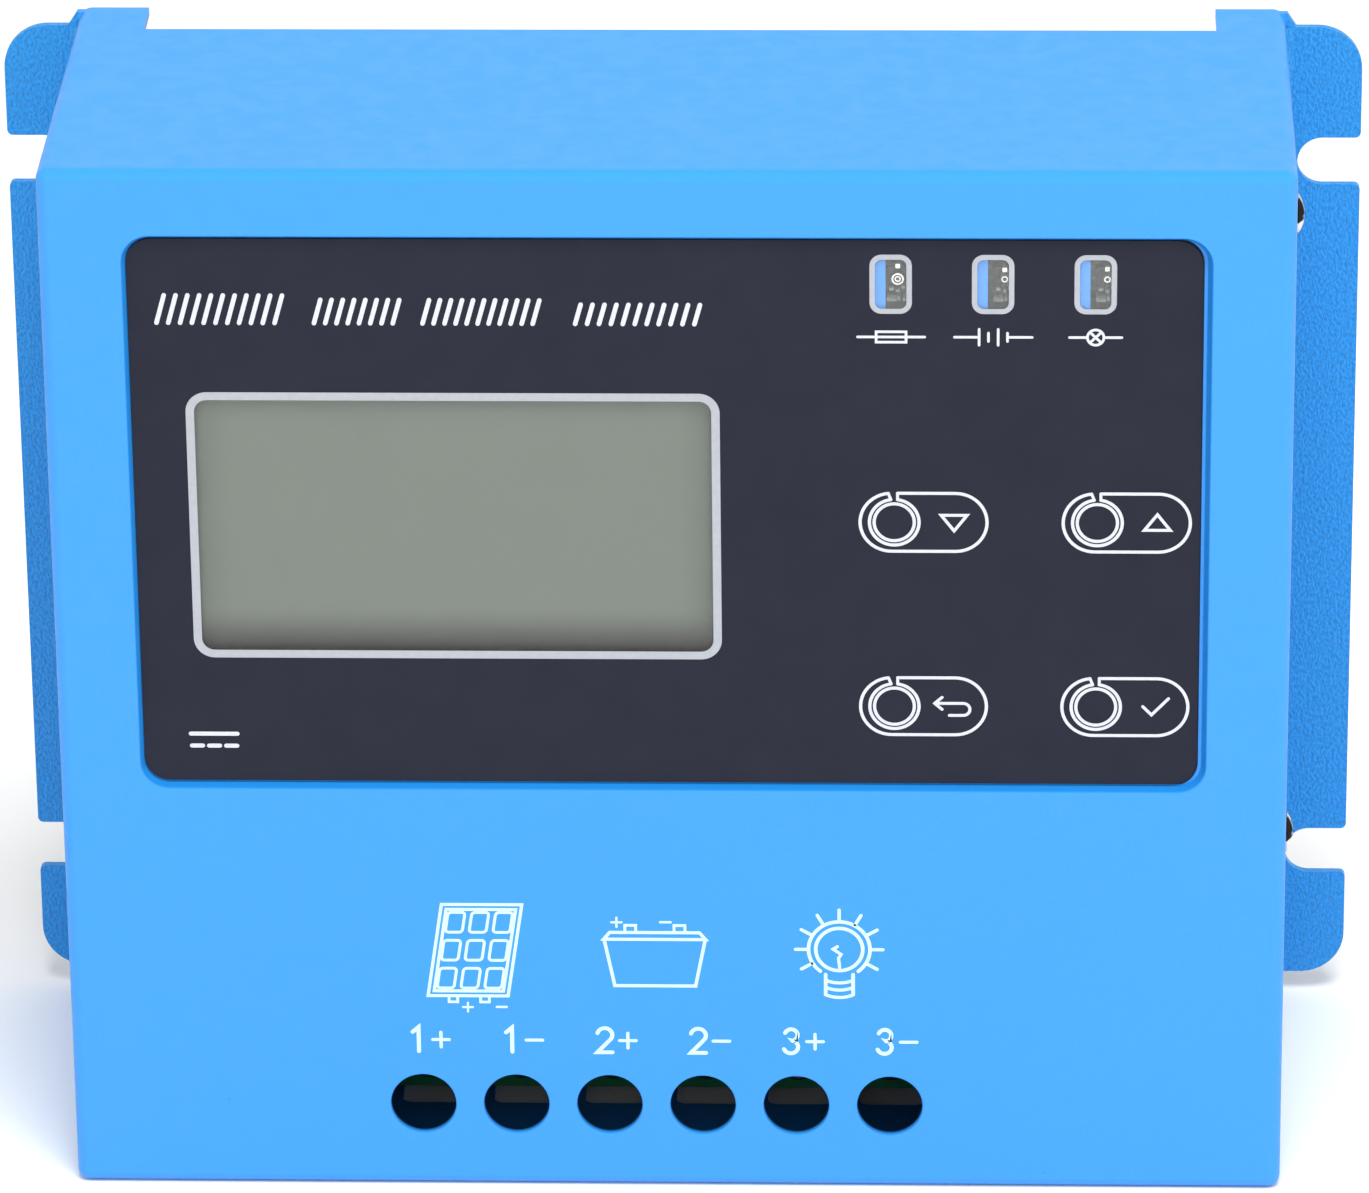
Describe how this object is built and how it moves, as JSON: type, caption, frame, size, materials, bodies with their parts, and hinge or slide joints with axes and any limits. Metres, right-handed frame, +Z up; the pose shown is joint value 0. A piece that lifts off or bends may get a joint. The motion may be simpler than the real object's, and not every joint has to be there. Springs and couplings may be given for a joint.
{
  "type": "charge controller",
  "caption": "Box-shaped solar charge controller with wall ears, display, indicator lamps, keys and a row of front-tightened screw terminals.",
  "frame": {"origin": "middle of the bottom face, on the surface the unit stands on", "axes": "+X to the right across the front, +Y from the front panel to the wall, +Z up"},
  "size_m": [0.19, 0.0636, 0.1519],
  "materials": {
    "blue_paint": "semi-gloss powder coat",
    "overlay_film": "matte printed film",
    "clear_window": "clear film",
    "lcd_glass": "satin polariser",
    "diffuser": "matte",
    "black_plastic": "matte",
    "lamp_plastic": "satin",
    "circuit_board": "solder mask",
    "terminal_green": "moulded",
    "tray_steel": "galvanised",
    "heatsink_aluminium": "extruded",
    "plated_steel": "zinc plated",
    "capacitor_sleeve": "shrink sleeve",
    "ferrite": "coated core",
    "copper_wire": "enamelled"
  },
  "bodies": {
    "case": {"front_cover": "blue_paint", "front_overlay": "overlay_film", "display_window": "clear_window", "display_glass": "lcd_glass", "display_backlight": "diffuser", "display_bezel": "black_plastic", "board_connector": "black_plastic", "power_transistor_1": "black_plastic", "power_transistor_2": "black_plastic", "key_switch_down": "black_plastic", "key_switch_up": "black_plastic", "key_switch_escape": "black_plastic", "key_switch_set": "black_plastic", "indicator_error": "lamp_plastic", "indicator_charge": "lamp_plastic", "indicator_load": "lamp_plastic", "display_board": "circuit_board", "main_board": "circuit_board", "terminal_housing": "terminal_green", "chassis_tray": "tray_steel", "heatsink": "heatsink_aluminium", "cover_screw_left_lower": "plated_steel", "cover_screw_left_upper": "plated_steel", "cover_screw_right_lower": "plated_steel", "cover_screw_right_upper": "plated_steel", "heatsink_screw_left": "plated_steel", "heatsink_screw_right": "plated_steel", "display_stud_1": "plated_steel", "display_stud_2": "plated_steel", "display_stud_3": "plated_steel", "display_stud_4": "plated_steel", "board_post_1": "plated_steel", "board_post_2": "plated_steel", "board_post_3": "plated_steel", "board_post_4": "plated_steel", "capacitor_1": "capacitor_sleeve", "capacitor_2": "capacitor_sleeve", "capacitor_3": "capacitor_sleeve", "inductor_core": "ferrite", "inductor_winding": "copper_wire"},
    "key_down": {"key_down": "overlay_film"},
    "key_up": {"key_up": "overlay_film"},
    "key_escape": {"key_escape": "overlay_film"},
    "key_set": {"key_set": "overlay_film"},
    "clamp_1": {"clamp_plate_1": "plated_steel"},
    "screw_1": {"terminal_screw_1": "plated_steel"},
    "clamp_2": {"clamp_plate_2": "plated_steel"},
    "screw_2": {"terminal_screw_2": "plated_steel"},
    "clamp_3": {"clamp_plate_3": "plated_steel"},
    "screw_3": {"terminal_screw_3": "plated_steel"},
    "clamp_4": {"clamp_plate_4": "plated_steel"},
    "screw_4": {"terminal_screw_4": "plated_steel"},
    "clamp_5": {"clamp_plate_5": "plated_steel"},
    "screw_5": {"terminal_screw_5": "plated_steel"},
    "clamp_6": {"clamp_plate_6": "plated_steel"},
    "screw_6": {"terminal_screw_6": "plated_steel"}
  },
  "joints": [
    {"name": "key_down_press", "type": "slide", "parent": "case", "child": "key_down", "axis": [0, 1, 0], "range_m": [0, 0.0005], "stiffness_N_per_m": 1500},
    {"name": "key_up_press", "type": "slide", "parent": "case", "child": "key_up", "axis": [0, 1, 0], "range_m": [0, 0.0005], "stiffness_N_per_m": 1500},
    {"name": "key_escape_press", "type": "slide", "parent": "case", "child": "key_escape", "axis": [0, 1, 0], "range_m": [0, 0.0005], "stiffness_N_per_m": 1500},
    {"name": "key_set_press", "type": "slide", "parent": "case", "child": "key_set", "axis": [0, 1, 0], "range_m": [0, 0.0005], "stiffness_N_per_m": 1500},
    {"name": "clamp_1_slide", "type": "slide", "parent": "case", "child": "clamp_1", "axis": [0, 1, 0], "range_m": [-0.0033, 0.002]},
    {"name": "screw_1_turn", "type": "hinge", "parent": "clamp_1", "child": "screw_1", "pos_m": [-0.03526, -0.01555, 0.01275], "axis": [0, 1, 0], "range_deg": [-2377, 1441]},
    {"name": "clamp_2_slide", "type": "slide", "parent": "case", "child": "clamp_2", "axis": [0, 1, 0], "range_m": [-0.0033, 0.002]},
    {"name": "screw_2_turn", "type": "hinge", "parent": "clamp_2", "child": "screw_2", "pos_m": [-0.02226, -0.01555, 0.01275], "axis": [0, 1, 0], "range_deg": [-2377, 1441]},
    {"name": "clamp_3_slide", "type": "slide", "parent": "case", "child": "clamp_3", "axis": [0, 1, 0], "range_m": [-0.0033, 0.002]},
    {"name": "screw_3_turn", "type": "hinge", "parent": "clamp_3", "child": "screw_3", "pos_m": [-0.00926, -0.01555, 0.01275], "axis": [0, 1, 0], "range_deg": [-2377, 1441]},
    {"name": "clamp_4_slide", "type": "slide", "parent": "case", "child": "clamp_4", "axis": [0, 1, 0], "range_m": [-0.0033, 0.002]},
    {"name": "screw_4_turn", "type": "hinge", "parent": "clamp_4", "child": "screw_4", "pos_m": [0.00374, -0.01555, 0.01275], "axis": [0, 1, 0], "range_deg": [-2377, 1441]},
    {"name": "clamp_5_slide", "type": "slide", "parent": "case", "child": "clamp_5", "axis": [0, 1, 0], "range_m": [0, 0.0053]},
    {"name": "screw_5_turn", "type": "hinge", "parent": "clamp_5", "child": "screw_5", "pos_m": [0.01674, -0.01885, 0.01275], "axis": [0, 1, 0], "range_deg": [0, 3817]},
    {"name": "clamp_6_slide", "type": "slide", "parent": "case", "child": "clamp_6", "axis": [0, 1, 0], "range_m": [-0.0033, 0.002]},
    {"name": "screw_6_turn", "type": "hinge", "parent": "clamp_6", "child": "screw_6", "pos_m": [0.02974, -0.01555, 0.01275], "axis": [0, 1, 0], "range_deg": [-2377, 1441]}
  ],
  "couplings": [
    {"joint": "screw_1_turn", "follows": "clamp_1_slide", "rad_per_m": 12566},
    {"joint": "screw_2_turn", "follows": "clamp_2_slide", "rad_per_m": 12566},
    {"joint": "screw_3_turn", "follows": "clamp_3_slide", "rad_per_m": 12566},
    {"joint": "screw_4_turn", "follows": "clamp_4_slide", "rad_per_m": 12566},
    {"joint": "screw_5_turn", "follows": "clamp_5_slide", "rad_per_m": 12566},
    {"joint": "screw_6_turn", "follows": "clamp_6_slide", "rad_per_m": 12566}
  ]
}
